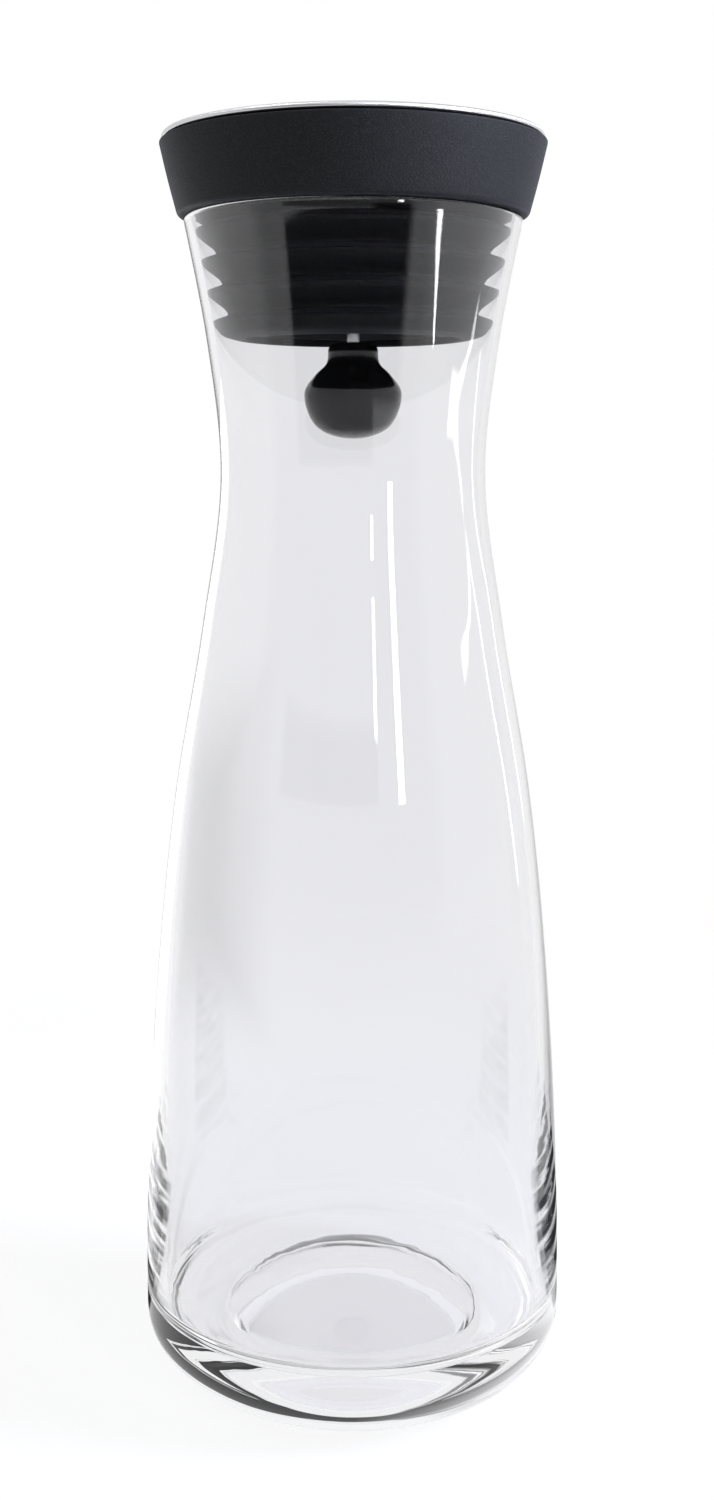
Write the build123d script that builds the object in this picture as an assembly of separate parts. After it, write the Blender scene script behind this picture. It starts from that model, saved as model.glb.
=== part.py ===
from build123d import *

import math
import os

# Glass water carafe with a self-closing lid. Millimetres, +Z up.
# The origin is the centre of the foot, on the surface that the carafe stands on.
# Outlines are drawn as (radius, height) and turned about the Z axis.

# Glass: the outside
FOOT_R = 31.6            # outer edge of the flat ring that the carafe stands on
FOOT_RING_WIDTH = 3.6
PUNT_RISE = 6.0          # height of the hollow under the base, at its centre
HEEL = [(35.2, 1.06), (38.9, 2.85), (44.4, 6.54), (47.8, 10.57), (50.1, 18.3)]   # foot to body
BODY = [(47.05, 91.4), (41.2, 146.1), (34.8, 182.7), (30.25, 219.2), (32.9, 246.0)]
MOUTH_R = 37.9
GLASS_TOP = 274.0

# Glass: the wall and the inside
RIM_WALL = 1.7           # thickness at the mouth
HEEL_WALL = 4.2          # thickness at the floor's height
FLOOR_Z = 17.2           # lowest ring of the floor, round the dome
DOME_R = 31.0
DOME_RISE = 10.0         # the floor rises by this much to its centre, over the punt
FLOOR_CORNER_RISE = 7.2

# Silicone stopper
COLLAR_BOTTOM = GLASS_TOP + 0.2
COLLAR_TOP = 290.0
COLLAR_BOTTOM_R = 39.3
COLLAR_TOP_R = 43.2
COLLAR_EDGE = 0.8        # rounding of the collar's top edge
COLLAR_HEM = 1.0         # rounding of its lower edge
COLLAR_BULGE = 0.15      # the flare is this much fuller than a cone
STOPPER_ROOT = [(35.9, COLLAR_BOTTOM), (35.6, 273.4)]   # step under the collar, inside the mouth
RIB_COUNT = 4
RIB_PITCH = 6.55
RIB_TOP = 270.9          # height of the first rib's tip
RIB_TIP_R = 35.35
RIB_TAPER = 0.19         # the tips draw in by this much per millimetre down
RIB_DEPTH = 4.0
RIB_TIP = 1.2            # height of the blunt tip
RIB_TIP_DRAFT = 0.3      # the tip draws in by this much over its height
RIB_ROOT_STEP = 0.4      # the root of a rib's upper face stands out by this much
RIB_FALL = 1.35          # the upper face falls by this much towards the tip
RIB_UNDERCUT = 2.55      # the lower face falls by this much towards the root
STOPPER_BOTTOM = 247.3
STOPPER_BOTTOM_R = 26.2
STOPPER_UNDERSIDE = (29.7, 248.1)   # a point on the rounded edge under the last rib
STOPPER_BORE_R = 25.9
STOPPER_LIP_R = 24.5
STOPPER_LIP = 1.5
RECESS_R = 38.8
RECESS_Z = 280.0

# Rigid guide insert inside the stopper
FIT = 0.3                # gap between pieces that turn or lift past each other
INSERT_WALL = 1.5
FLANGE_Z = RECESS_Z + 0.1
SEAT_Z = 286.0
SEAT_WIDTH = 1.9
HUB_R = 11.2
HUB_HOLE_R = 8.4
HUB_Z = 269.0
HUB_HEIGHT = 6.0
SPOKE_COUNT = 3
SPOKE_WIDTH = 3.0
SPOKE_START_DEG = 60.0   # no spoke lies on the side that the lid opens to

# Lid
LID_R = 42.6
LID_Z = COLLAR_TOP + 0.35
LID_EDGE = 1.35          # height of the hemmed edge
LID_HEM = 3.6
LID_CROWN = 1.5
LID_SHEET = 0.6
BASE_R = 38.2
BASE_SHOULDER_R = 36.5
BASE_SHOULDER_Z = 286.8
BASE_SKIRT_Z = 287.9
BASE_SKIRT_R = 34.6
BASE_WEB_Z = 290.2
BASE_BOSS_R = 5.5
BASE_BOSS_Z = 284.0

# Rod, its fixings and the weight
ROD_R = 1.5
ROD_FOOT_R = 5.0
ROD_FOOT = 0.6
ROD_BOTTOM = 233.0
ROD_CLEARANCE = 0.2
WASHER_R = 3.5
WASHER = 0.8
NUT_FLATS = 5.5
NUT_HEIGHT = 2.4
WEIGHT_TOP = 246.8
WEIGHT_BOTTOM = 225.4
WEIGHT_NECK_R = 5.7
WEIGHT_TOP_EDGE = 2.0
WEIGHT_BELLY = (11.1, 235.3)
WEIGHT_LOWER = (8.4, 228.2)
WEIGHT_SHOULDER = [(8.5, 239.8), (6.0, 242.4)]
CORE_R = 9.6
CORE_BOTTOM = 227.4
CORE_BOTTOM_R = 5.0
CORE_BELLY = (8.0, 229.9)
CORE_SIDE = (233.6, 236.6)   # the slug is straight between these heights
CORE_NECK_R = 4.3
CORE_NECK_Z = 241.9
CORE_TOP = 245.0


def turned(*edges):
    """Solid of revolution from lines and arcs that make a closed outline."""
    outline = [side for edge in edges for side in (Plane.XZ * edge).edges()]
    return revolve(make_face(outline), Axis.Z)


def turned_polygon(*points):
    """Solid of revolution from a closed outline of straight lines."""
    return turned(Polyline(*points, close=True))


def wall(height):
    """Glass thickness: thin at the mouth and heavier towards the floor."""
    depth = (GLASS_TOP - height) / (GLASS_TOP - FLOOR_Z)
    return RIM_WALL + (HEEL_WALL - RIM_WALL) * depth**2


def glass_carafe():
    mouth_z = GLASS_TOP - RIM_WALL / 2
    body = [HEEL[-1], *BODY, (MOUTH_R, mouth_z)]
    corner_z = FLOOR_Z + FLOOR_CORNER_RISE
    corner_r = HEEL[-1][0] - 0.3 - wall(corner_z)
    inside = [(corner_r, corner_z)] + [(r - wall(z), z) for r, z in body[1:]]
    inside[-1] = (MOUTH_R - RIM_WALL, mouth_z)
    punt_r = FOOT_R - FOOT_RING_WIDTH

    punt = TangentArc((0, PUNT_RISE), (punt_r, 0), tangent=(1, 0))
    foot = Line((punt_r, 0), (FOOT_R, 0))
    heel = Spline((FOOT_R, 0), *HEEL, tangents=[(1, 0), (0, 1)])
    outside = Spline(*body, tangents=[(0, 1), (0.2, 1)])
    rim = ThreePointArc(body[-1], (MOUTH_R - RIM_WALL / 2, GLASS_TOP), inside[-1])
    bore = Spline(*inside, tangents=[(0, 1), (0.2, 1)])
    corner_centre = (DOME_R, corner_z)
    corner = EllipticalCenterArc(corner_centre, corner_r - DOME_R, FLOOR_CORNER_RISE, 270, arc_size=90)
    dome = TangentArc((0, FLOOR_Z + DOME_RISE), (DOME_R, FLOOR_Z), tangent=(1, 0))
    axis = Line((0, PUNT_RISE), (0, FLOOR_Z + DOME_RISE))
    return turned(punt, foot, heel, outside, rim, bore, corner, dome, axis)


def rib_points():
    """Barbed ribs from the top down: upper face, blunt tip, undercut lower face, root."""
    points = []
    for index in range(RIB_COUNT):
        top = RIB_TOP - index * RIB_PITCH
        tip = RIB_TIP_R - RIB_TAPER * (RIB_TOP - top)
        root = tip - RIB_DEPTH
        points += [(root + RIB_ROOT_STEP, top + RIB_FALL), (tip, top), (tip - RIB_TIP_DRAFT, top - RIB_TIP)]
        if index < RIB_COUNT - 1:
            points.append((root, top - RIB_TIP - RIB_UNDERCUT))
    return points


def silicone_stopper():
    ribs = rib_points()
    bottom_edge = (STOPPER_BOTTOM_R, STOPPER_BOTTOM)
    underside = ThreePointArc(ribs[-1], STOPPER_UNDERSIDE, bottom_edge)
    inside = Polyline(
        bottom_edge,
        (STOPPER_LIP_R, STOPPER_BOTTOM),
        (STOPPER_LIP_R, STOPPER_BOTTOM + STOPPER_LIP),
        (STOPPER_BORE_R, STOPPER_BOTTOM + STOPPER_LIP),
        (STOPPER_BORE_R, RECESS_Z),
        (RECESS_R, RECESS_Z),
        (RECESS_R, COLLAR_TOP),
        (COLLAR_TOP_R - COLLAR_EDGE, COLLAR_TOP),
    )
    top_edge = ThreePointArc(
        (COLLAR_TOP_R - COLLAR_EDGE, COLLAR_TOP),
        (COLLAR_TOP_R - 0.25 * COLLAR_EDGE, COLLAR_TOP - 0.3 * COLLAR_EDGE),
        (COLLAR_TOP_R, COLLAR_TOP - 1.2 * COLLAR_EDGE),
    )
    flare = ThreePointArc(
        (COLLAR_TOP_R, COLLAR_TOP - 1.2 * COLLAR_EDGE),
        ((COLLAR_TOP_R + COLLAR_BOTTOM_R) / 2 + COLLAR_BULGE, (COLLAR_TOP + COLLAR_BOTTOM) / 2),
        (COLLAR_BOTTOM_R, COLLAR_BOTTOM + COLLAR_HEM),
    )
    hem = ThreePointArc(
        (COLLAR_BOTTOM_R, COLLAR_BOTTOM + COLLAR_HEM),
        (COLLAR_BOTTOM_R - 0.3 * COLLAR_HEM, COLLAR_BOTTOM + 0.3 * COLLAR_HEM),
        (COLLAR_BOTTOM_R - COLLAR_HEM, COLLAR_BOTTOM),
    )
    outside = Polyline((COLLAR_BOTTOM_R - COLLAR_HEM, COLLAR_BOTTOM), *STOPPER_ROOT, *ribs)
    return turned(underside, inside, top_edge, flare, hem, outside)


def guide_insert():
    tube_r = STOPPER_BORE_R - FIT
    bore_r = tube_r - INSERT_WALL
    rim_r = RECESS_R - FIT
    bottom = STOPPER_BOTTOM + STOPPER_LIP + 0.1
    ring = turned_polygon(
        (bore_r, bottom),
        (tube_r, bottom),
        (tube_r, FLANGE_Z),
        (rim_r, FLANGE_Z),
        (rim_r, SEAT_Z),
        (rim_r - SEAT_WIDTH, SEAT_Z),
        (rim_r - SEAT_WIDTH, FLANGE_Z + INSERT_WALL),
        (bore_r, FLANGE_Z + INSERT_WALL),
    )
    hub_hole = Cylinder(HUB_HOLE_R, HUB_HEIGHT)
    hub = Pos(0, 0, HUB_Z + HUB_HEIGHT / 2) * (Cylinder(HUB_R, HUB_HEIGHT) - hub_hole)
    spoke_start = (HUB_R + HUB_HOLE_R) / 2
    spoke_length = bore_r + INSERT_WALL / 2 - spoke_start
    spoke = Pos(spoke_start + spoke_length / 2, 0, HUB_Z + HUB_HEIGHT / 2) * Box(
        spoke_length, SPOKE_WIDTH, HUB_HEIGHT
    )
    insert = ring + hub
    for index in range(SPOKE_COUNT):
        insert += Rot(0, 0, SPOKE_START_DEG + index * 360 / SPOKE_COUNT) * spoke
    return insert


def crown_drop(radius):
    """How far the crowned lid falls below its centre at a radius."""
    edge_r = LID_R - LID_EDGE / 2
    sphere = (edge_r**2 + LID_CROWN**2) / (2 * LID_CROWN)
    return sphere - math.sqrt(sphere**2 - radius**2)


def crown_arc(centre_z, radius):
    """The lid's crown, from the axis out to a radius."""
    return TangentArc((0, centre_z), (radius, centre_z - crown_drop(radius)), tangent=(1, 0))


COVER_TOP = LID_Z + LID_EDGE + LID_CROWN
COVER_UNDERSIDE = COVER_TOP - LID_SHEET


def lid_cover():
    edge_r = LID_R - LID_EDGE / 2
    hem_r = LID_R - LID_HEM
    top = crown_arc(COVER_TOP, edge_r)
    edge = ThreePointArc((edge_r, LID_Z + LID_EDGE), (LID_R, LID_Z + LID_EDGE / 2), (edge_r, LID_Z))
    hem = Polyline((edge_r, LID_Z), (hem_r, LID_Z), (hem_r, COVER_UNDERSIDE - crown_drop(hem_r)))
    underside = crown_arc(COVER_UNDERSIDE, hem_r)
    axis = Line((0, COVER_UNDERSIDE), (0, COVER_TOP))
    return turned(top, edge, hem, underside, axis)


def lid_base():
    top_z = COVER_UNDERSIDE - 0.05
    bore_r = ROD_R + ROD_CLEARANCE
    foot_recess_r = ROD_FOOT_R + ROD_CLEARANCE
    foot_recess_z = top_z - ROD_FOOT - 0.05
    top = ThreePointArc(
        (BASE_R, top_z - crown_drop(BASE_R)),
        (BASE_R / 2, top_z - crown_drop(BASE_R / 2)),
        (foot_recess_r, top_z - crown_drop(foot_recess_r)),
    )
    rest = Polyline(
        (foot_recess_r, top_z - crown_drop(foot_recess_r)),
        (foot_recess_r, foot_recess_z),
        (bore_r, foot_recess_z),
        (bore_r, BASE_BOSS_Z),
        (BASE_BOSS_R, BASE_BOSS_Z),
        (BASE_BOSS_R, BASE_WEB_Z),
        (BASE_SKIRT_R, BASE_WEB_Z),
        (BASE_SKIRT_R, BASE_SHOULDER_Z),
        (BASE_SHOULDER_R, BASE_SHOULDER_Z),
        (BASE_SHOULDER_R, BASE_SKIRT_Z),
        (BASE_R, BASE_SKIRT_Z),
        (BASE_R, top_z - crown_drop(BASE_R)),
    )
    return turned(top, rest)


def lid_seal():
    inner_r = BASE_SHOULDER_R
    outer_r = BASE_R
    lip_z = SEAT_Z + 0.05
    top = Polyline(
        (inner_r, lip_z + 0.7), (inner_r, BASE_SKIRT_Z), (outer_r, BASE_SKIRT_Z), (outer_r, lip_z + 0.7)
    )
    lip = ThreePointArc((outer_r, lip_z + 0.7), ((inner_r + outer_r) / 2, lip_z), (inner_r, lip_z + 0.7))
    return turned(top, lip)


def pendulum_rod():
    foot_top = COVER_UNDERSIDE - 0.05
    length = foot_top - ROD_BOTTOM
    rod = Pos(0, 0, ROD_BOTTOM + length / 2) * Cylinder(ROD_R, length)
    foot = Pos(0, 0, foot_top - ROD_FOOT / 2) * Cylinder(ROD_FOOT_R, ROD_FOOT)
    return rod + foot


def clamp_washer():
    ring = Cylinder(WASHER_R, WASHER) - Cylinder(ROD_R + ROD_CLEARANCE / 2, WASHER)
    return Pos(0, 0, BASE_BOSS_Z - WASHER / 2) * ring


def clamp_nut():
    hexagon = extrude(RegularPolygon(NUT_FLATS / 2, 6, major_radius=False), NUT_HEIGHT)
    nut = Pos(0, 0, BASE_BOSS_Z - WASHER - NUT_HEIGHT) * hexagon
    return nut - Pos(0, 0, BASE_BOSS_Z) * Cylinder(ROD_R, 4 * NUT_HEIGHT)


def weight_core():
    """Turned slug with a neck and a blind threaded hole, shown plain, for the rod."""
    side_bottom, side_top = CORE_SIDE
    inside = Polyline((0, CORE_BOTTOM), (0, ROD_BOTTOM), (ROD_R, ROD_BOTTOM), (ROD_R, CORE_TOP))
    outside = Polyline(
        (ROD_R, CORE_TOP),
        (CORE_NECK_R, CORE_TOP),
        (CORE_NECK_R, CORE_NECK_Z),
        (CORE_R, side_top),
        (CORE_R, side_bottom),
    )
    underside = ThreePointArc((CORE_R, side_bottom), CORE_BELLY, (CORE_BOTTOM_R, CORE_BOTTOM))
    bottom = Line((CORE_BOTTOM_R, CORE_BOTTOM), (0, CORE_BOTTOM))
    return turned(inside, outside, underside, bottom)


def weight_shell():
    """Pear-shaped overmould, solid but for the core and the rod's hole."""
    neck_z = WEIGHT_TOP - WEIGHT_TOP_EDGE
    waist = (WEIGHT_NECK_R, neck_z)
    lower = Spline((0, WEIGHT_BOTTOM), WEIGHT_LOWER, WEIGHT_BELLY, tangents=[(1, 0), (0, 1)])
    upper = Spline(WEIGHT_BELLY, *WEIGHT_SHOULDER, waist, tangents=[(0, 1), (0, 1)])
    edge = ThreePointArc(
        waist,
        (WEIGHT_NECK_R - 0.3 * WEIGHT_TOP_EDGE, WEIGHT_TOP - 0.3 * WEIGHT_TOP_EDGE),
        (WEIGHT_NECK_R - WEIGHT_TOP_EDGE, WEIGHT_TOP),
    )
    top = Polyline((WEIGHT_NECK_R - WEIGHT_TOP_EDGE, WEIGHT_TOP), (0, WEIGHT_TOP), (0, WEIGHT_BOTTOM))
    pear = turned(lower, upper, edge, top)
    mouth = Pos(0, 0, WEIGHT_TOP) * Cylinder(ROD_R + ROD_CLEARANCE, 2 * (WEIGHT_TOP - CORE_TOP))
    thread_depth = CORE_TOP - ROD_BOTTOM
    thread = Pos(0, 0, ROD_BOTTOM + thread_depth / 2) * Cylinder(ROD_R, thread_depth)
    return pear - weight_core() - thread - mouth


NODES = [
    glass_carafe,
    silicone_stopper,
    guide_insert,
    lid_cover,
    lid_base,
    lid_seal,
    pendulum_rod,
    clamp_washer,
    clamp_nut,
    weight_core,
    weight_shell,
]

os.makedirs("parts", exist_ok=True)
for node in NODES:
    export_step(node(), f"parts/{node.__name__}.step")
    print("wrote", node.__name__)
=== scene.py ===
# %% [markdown]
# # A glass water carafe with a self-closing lid
# This lesson dresses a finished CAD model in Blender. The CAD model comes first and stays where it is: it
# says where every piece of the carafe sits and how big it is. What is added here is what the eye meets:
# clear blown glass, matt silicone, brushed steel and a glossy black weight.

# %% Load the frame
import math

import bmesh
import bpy
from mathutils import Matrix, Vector


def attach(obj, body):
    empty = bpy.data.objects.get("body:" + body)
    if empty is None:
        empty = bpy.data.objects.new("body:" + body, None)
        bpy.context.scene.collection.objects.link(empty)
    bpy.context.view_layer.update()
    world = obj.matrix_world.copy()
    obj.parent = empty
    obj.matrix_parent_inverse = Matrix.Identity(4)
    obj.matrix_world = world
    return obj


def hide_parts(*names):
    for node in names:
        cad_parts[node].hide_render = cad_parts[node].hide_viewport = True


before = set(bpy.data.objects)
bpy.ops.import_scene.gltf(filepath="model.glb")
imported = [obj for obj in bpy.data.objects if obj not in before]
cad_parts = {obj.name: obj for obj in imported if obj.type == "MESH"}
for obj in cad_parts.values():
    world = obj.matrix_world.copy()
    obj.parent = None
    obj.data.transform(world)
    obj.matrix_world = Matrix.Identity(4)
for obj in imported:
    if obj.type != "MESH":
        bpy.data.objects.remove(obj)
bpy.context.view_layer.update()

print("nodes:", sorted(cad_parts))

# %% [markdown]
# ## Small tools
# Blender works in metres, and a carafe is measured in millimetres, so outlines are written in millimetres
# and scaled once. A colour is written as the hex value that it has on a screen, and one function turns it
# into the linear light that shaders work in. One function adds a node with its settings and its links.

# %% Tools for lengths, colours and nodes
MM = 0.001


def linear(hex_colour):
    """The linear RGBA of an sRGB hex colour such as "#8090a0"."""
    parts = [int(hex_colour[i:i + 2], 16) / 255 for i in (1, 3, 5)]
    return [c / 12.92 if c <= 0.04045 else ((c + 0.055) / 1.055) ** 2.4 for c in parts] + [1.0]


def add(tree, kind, settings=None, links=None):
    """Adds a node. Settings give input values or properties, links give the socket that feeds an input."""
    node = tree.nodes.new(kind)
    for name, value in (settings or {}).items():
        if isinstance(name, int) or name in node.inputs:
            node.inputs[name].default_value = value
        else:
            setattr(node, name, value)
    for name, socket in (links or {}).items():
        tree.links.new(socket, node.inputs[name])
    return node


def new_material(name):
    """A material with a Principled shader. Returns the material, its node tree and the shader."""
    material = bpy.data.materials.new(name)
    material.use_nodes = True
    tree = material.node_tree
    return material, tree, tree.nodes["Principled BSDF"]


print("mid grey on a screen is this much light:", round(linear("#808080")[0], 3))

# %% [markdown]
# ## The camera
# The photograph was taken from close by, a little below the height of the lid, looking down at the foot.
# A camera fitted to the glass's outline and to the two ellipses of collar and foot stands 42 cm away. The
# carafe is drawn a touch left of the picture's middle. Turning the camera would do that too, but it changes
# the perspective, and a small lens shift doesn't.

# %% Place the camera
FRAME_W, FRAME_H = 714, 1500      # the picture, in pixels
FOCAL_PX = 1810.7                 # the lens's focal length, in pixels of the picture
SENSOR_MM = 36.0                  # spans the picture's long side
CAMERA_DISTANCE = 420 * MM
CAMERA_HEIGHT = 221.5 * MM
PITCH_DEG = 9.22                  # how far the camera looks down
YAW_RAD = 0.007                   # how far it is turned to the left
NEAR_CLIP = 0.01                  # nothing nearer than this is drawn, in metres
CENTRE_X_PX = 340.1               # where the lens's axis meets the picture

scene = bpy.context.scene
camera_data = bpy.data.cameras.new("camera")
camera = bpy.data.objects.new("camera", camera_data)
scene.collection.objects.link(camera)
scene.camera = camera
camera_data.sensor_width = SENSOR_MM
camera_data.lens = FOCAL_PX * SENSOR_MM / FRAME_H
camera_data.shift_x = (FRAME_W / 2 - CENTRE_X_PX) / FRAME_H
camera_data.clip_start = NEAR_CLIP
camera.location = (0, -CAMERA_DISTANCE, CAMERA_HEIGHT)
camera.rotation_euler = (math.radians(90 - PITCH_DEG), 0, YAW_RAD)
print("lens in mm:", round(camera_data.lens, 2))

# %% [markdown]
# ## Light for glass
# Glass has almost no colour of its own. It shows what it reflects and what it bends, so it is lit by its
# surroundings. A white room gives it a pale body, narrow bright lights draw the streaks down its side, and
# dark cloths on the camera's side keep reflections off the black stopper, which would look grey behind the
# glass without them. A picture of a studio wrapped round the scene could light it too, but with a plain room
# and a few lights each mark in the glass has one cause, which can be moved by itself.
#
# The room is plain white to the eye and through the glass, and a touch dimmer where it is mirrored. Matt
# things get less of it, and more of that from overhead, which gives the ribs of the stopper a light and a
# dark side. Blender tells these apart by a ray's history: how often it was mirrored, bent or scattered.

# %% Tests of a ray's history
NEVER_SCATTERED = ("Diffuse Depth", "LESS_THAN", 0.5)
MIRRORED = ("Glossy Depth", "GREATER_THAN", 0.5)        # mirrored at least once
GIVEN_UP = ("Glossy Depth", "GREATER_THAN", 3.5)        # mirrored four times, the most that Blender follows
NEAR_WALL = ("Transmission Depth", "LESS_THAN", 2.5)    # at the most in and out of the near wall


def passes(tree, test):
    """A socket that is 1 for rays whose history passes a test, and 0 for the others."""
    count, comparison, limit = test
    history = add(tree, "ShaderNodeLightPath")
    passed = add(tree, "ShaderNodeMath", {"operation": comparison, 1: limit}, {0: history.outputs[count]})
    return passed.outputs[0]


print("tests of a ray's history:", NEVER_SCATTERED, MIRRORED, GIVEN_UP, NEAR_WALL)

# %% The room
MIRRORED_WHITE = 0.95             # strength of the room where steel and glass mirror it
ROOM_LOW, ROOM_HIGH = 0.05, 0.36  # strength of the room on matt surfaces, from below and from overhead
LOW_AT, HIGH_AT = -0.5, 0.8       # these strengths are reached where a ray points so far down or up
ROOM_TINT = "#f0f1ff"             # the faint blue of daylight on matt surfaces

scene.view_settings.view_transform = "Standard"
world = bpy.data.worlds.new("studio")
scene.world = world
world.use_nodes = True
room = world.node_tree
room.nodes.clear()

ray = add(room, "ShaderNodeLightPath")
seen = add(
    room, "ShaderNodeMath", {"operation": "MAXIMUM"},
    {0: ray.outputs["Is Camera Ray"], 1: ray.outputs["Is Glossy Ray"]},
)
seen_through = add(
    room, "ShaderNodeMath", {"operation": "MAXIMUM"},
    {0: seen.outputs[0], 1: ray.outputs["Is Transmission Ray"]},
)
# Light that a matt surface sends on through the glass is room light, not background.
backdrop = add(
    room, "ShaderNodeMath", {"operation": "MULTIPLY"},
    {0: seen_through.outputs[0], 1: passes(room, NEVER_SCATTERED)},
)
way = add(room, "ShaderNodeTexCoord")
upward = add(room, "ShaderNodeSeparateXYZ", {}, {"Vector": way.outputs["Generated"]})
overhead = add(
    room, "ShaderNodeMapRange", {1: LOW_AT, 2: HIGH_AT, 3: ROOM_LOW, 4: ROOM_HIGH},
    {"Value": upward.outputs["Z"]},
)
soft = add(
    room, "ShaderNodeBackground", {"Color": linear(ROOM_TINT)}, {"Strength": overhead.outputs["Result"]}
)
dimmed = add(room, "ShaderNodeMapRange", {3: 1.0, 4: MIRRORED_WHITE}, {"Value": passes(room, MIRRORED)})
white = add(room, "ShaderNodeBackground", {"Color": (1, 1, 1, 1)}, {"Strength": dimmed.outputs["Result"]})
mix = add(
    room, "ShaderNodeMixShader", {},
    {"Fac": backdrop.outputs[0], 1: soft.outputs[0], 2: white.outputs[0]},
)
add(room, "ShaderNodeOutputWorld", {}, {"Surface": mix.outputs[0]})
print("room: 1 to the eye,", MIRRORED_WHITE, "mirrored,", ROOM_LOW, "to", ROOM_HIGH, "on matt surfaces")

# %% [markdown]
# The carafe stands on white paper. Near the foot the paper keeps the carafe's soft shadow. Further out it
# fades into the white of the room, so that no horizon runs through the glass. A photographer bends the paper
# up behind the object for this. Here the fade does it, and the glass has no bend to mirror or to turn over.

# %% The floor
FLOOR_SIZE = 6.0                  # in metres
NEAR_GLOW = 0.9                   # share of plain white in what the eye sees of the paper near the foot
FADE_FROM, FADE_TO = 0.07, 0.42   # the share grows to 1 between these distances from the axis, in metres

half = FLOOR_SIZE / 2
floor_mesh = bpy.data.meshes.new("floor")
floor_mesh.from_pydata(
    [(-half, -half, 0), (half, -half, 0), (half, half, 0), (-half, half, 0)], [], [(0, 1, 2, 3)]
)
floor = bpy.data.objects.new("floor", floor_mesh)
scene.collection.objects.link(floor)

paper, paper_tree, paper_shader = new_material("white_paper")
paper_shader.inputs["Base Color"].default_value = linear("#f2f2f2")
paper_shader.inputs["Roughness"].default_value = 0.9
place = add(paper_tree, "ShaderNodeNewGeometry")
away = add(paper_tree, "ShaderNodeVectorMath", {"operation": "LENGTH"}, {0: place.outputs["Position"]})
glow = add(
    paper_tree, "ShaderNodeMapRange",
    {"interpolation_type": "SMOOTHSTEP", 1: FADE_FROM, 2: FADE_TO, 3: NEAR_GLOW, 4: 1.0},
    {"Value": away.outputs["Value"]},
)
share = add(
    paper_tree, "ShaderNodeMath", {"operation": "MULTIPLY"},
    {0: glow.outputs["Result"], 1: passes(paper_tree, NEVER_SCATTERED)},
)
paper_white = add(paper_tree, "ShaderNodeEmission", {"Color": (1, 1, 1, 1), "Strength": 1.0})
paper_mix = add(
    paper_tree, "ShaderNodeMixShader", {},
    {"Fac": share.outputs[0], 1: paper_shader.outputs[0], 2: paper_white.outputs[0]},
)
paper_tree.links.new(paper_mix.outputs[0], paper_tree.nodes["Material Output"].inputs["Surface"])
floor.data.materials.append(paper)
print("floor in metres:", FLOOR_SIZE)

# %% [markdown]
# The panels stand where the photograph's streaks come from: a ray from the camera bounces off the glass at
# the streak and leads to its light. A narrow one at the front right draws the long streak, a small one the
# short streak beside it, and one behind at the left the white band along the edge. Two large ones light the
# silicone, from the right and from above. They are kept out of what the glass mirrors, so that it stays
# free of broad patches. They could be glowing boards, but an area lamp makes less noise, and it can be kept
# out of reflections by itself.

# %% Panels
PANEL_AIM = 0.16                  # the panels face this height on the axis, in metres


def spot_at(turn, distance, height):
    """A point round the axis. A turn of 0 is in front, towards the camera, and it grows to the right."""
    return distance * math.sin(turn), -distance * math.cos(turn), height


def panel(name, azimuth_deg, distance, height, size, power, colour="#ffffff"):
    """A soft light panel. It lights and it is mirrored, but it doesn't show as a box through the glass."""
    light = bpy.data.lights.new(name, "AREA")
    light.shape = "RECTANGLE"
    light.size, light.size_y = size
    light.energy = power
    light.color = linear(colour)[:3]
    made = bpy.data.objects.new(name, light)
    scene.collection.objects.link(made)
    made.location = spot_at(math.radians(azimuth_deg), distance, height)
    aim = Vector((0, 0, PANEL_AIM)) - made.location
    made.rotation_euler = aim.to_track_quat("-Z", "Y").to_euler()
    made.visible_camera = made.visible_transmission = False
    return made


panel("streak_panel", 31, distance=1.2, height=0.41, size=(0.085, 0.28), power=6)
panel("small_panel", 15.5, distance=1.2, height=0.45, size=(0.042, 0.09), power=0.7)
panel("left_edge", -146, distance=0.30, height=0.115, size=(0.165, 0.22), power=0.22)
soft_key = panel("soft_key", 78, distance=1.3, height=0.75, size=(0.45, 0.6), power=46, colour="#dfe5ff")
top_fill = panel("top_fill", -65, distance=1.0, height=1.4, size=(0.9, 0.9), power=5)
for large in (soft_key, top_fill):
    large.data.cycles.use_multiple_importance_sampling = False    # a mirrored ray then passes it by

# %% [markdown]
# On the camera's side the room is darker, and black cloths with soft edges stand in for that. A wide thin
# one dims what the body mirrors. Two small ones are all that the flared neck mirrors in front of the
# stopper, so its ribs stay black in the middle. A narrow one behind at the left draws the thin outline of
# the glass. Two cards on the table, cut in slanting strokes, darken the thick wall at the sides of the base,
# and a thin gauze behind at the left greys the glass a little. No camera ray sees any of them, and they
# take no light from the carafe. A board with sharp sides would draw sharp lines in the glass, so a cloth
# fades out towards its edges: its opacity is stored in its mesh, point by point.

# %% Cloth
COVER = "cover"                   # the mesh attribute that holds the opacity


def cloth_material(name, tests):
    """Dark cloth whose opacity is in its mesh. It shows only to rays whose history passes the tests."""
    material, tree, shader = new_material(name)
    shader.inputs["Base Color"].default_value = linear("#08080a")
    shader.inputs["Roughness"].default_value = 1.0
    opacity = add(tree, "ShaderNodeAttribute", {"attribute_name": COVER}).outputs["Fac"]
    for test in tests:
        both = add(tree, "ShaderNodeMath", {"operation": "MULTIPLY"}, {0: opacity, 1: passes(tree, test)})
        opacity = both.outputs[0]
    tree.links.new(opacity, shader.inputs["Alpha"])
    return material


def eased(value, low, high):
    """0 below low, 1 above high and a soft step between them."""
    t = min(1.0, max(0.0, (value - low) / (high - low)))
    return t * t * (3 - 2 * t)


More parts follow.
